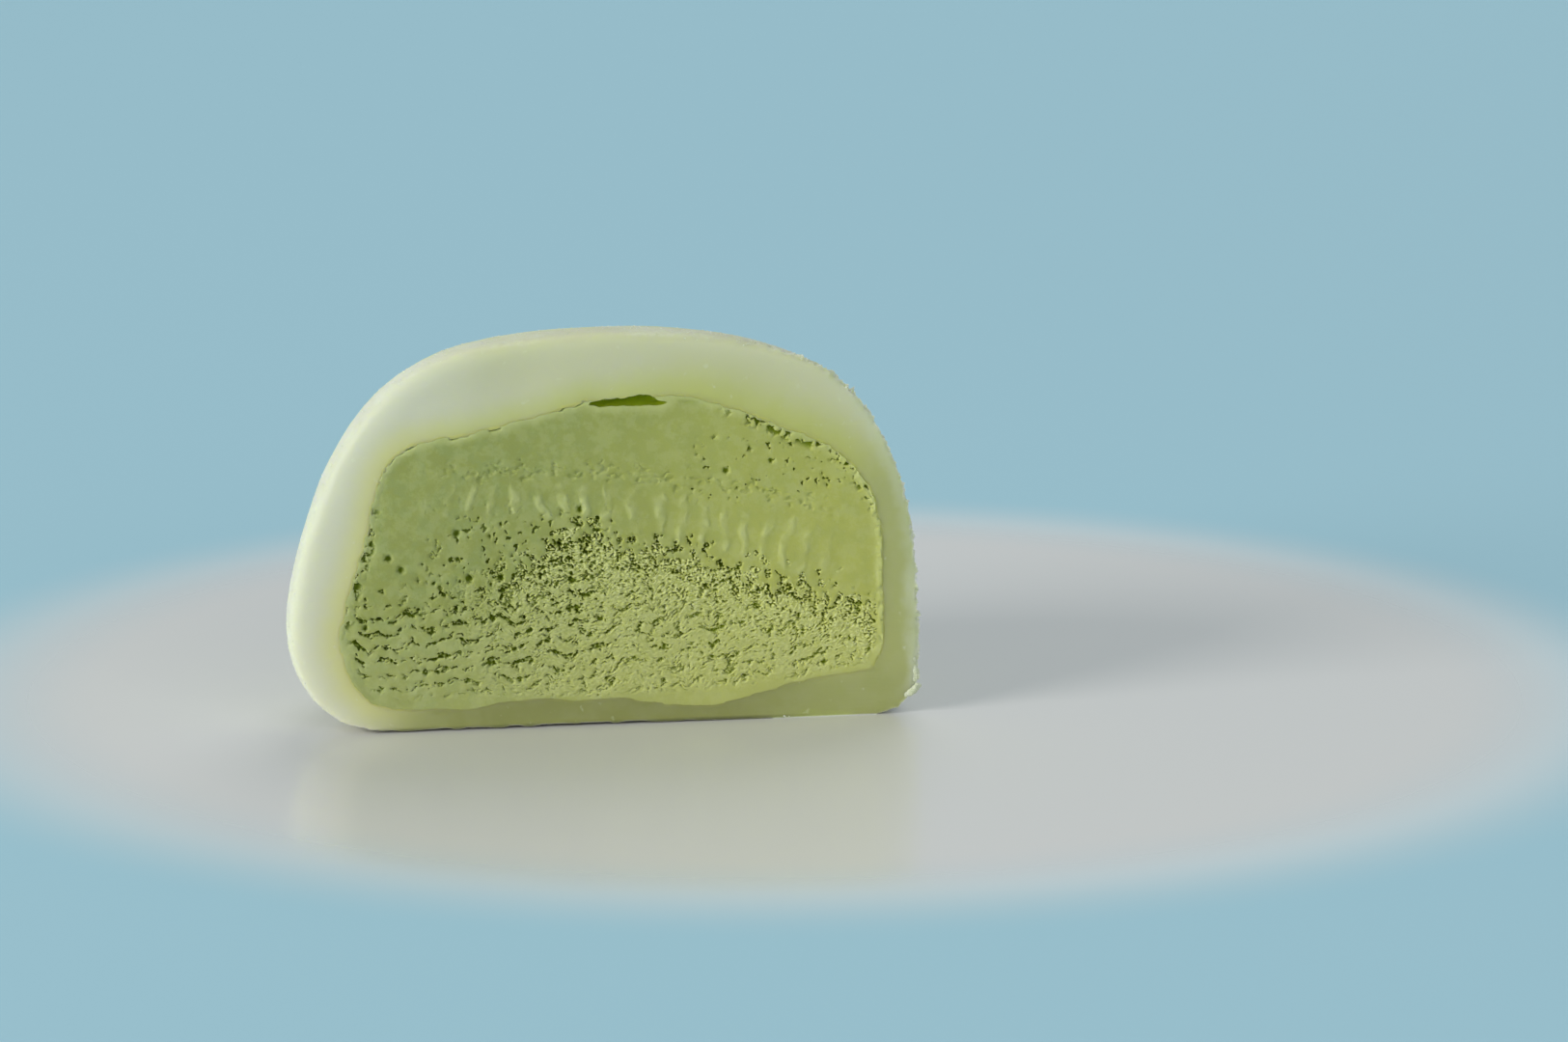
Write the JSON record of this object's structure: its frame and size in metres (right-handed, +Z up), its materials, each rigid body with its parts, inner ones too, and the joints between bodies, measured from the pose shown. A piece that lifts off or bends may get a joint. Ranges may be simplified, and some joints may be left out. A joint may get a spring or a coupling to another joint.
{
  "type": "halved mochi ice cream",
  "caption": "Half of a round mochi ice cream, cut through the middle: a soft rice-dough skin around a green-tea ice cream core, resting on its flat base.",
  "frame": {"origin": "under the middle of the half, on the surface that it rests on", "axes": "+Z up; +X to the right along the cut, seen from the cut side; +Y from the cut to the rounded back, so the cut faces -Y"},
  "size_m": [0.0486, 0.0242, 0.0303],
  "materials": {
    "rice_dough": "soft translucent pale green dough, satin on the cut and powdered with starch outside",
    "ice_cream": "matt green ice cream, smooth above and porous below",
    "starch": "fine white starch powder"
  },
  "bodies": {
    "root": {"mochi_skin": "rice_dough", "ice_cream_core": "ice_cream"}
  },
  "joints": []
}
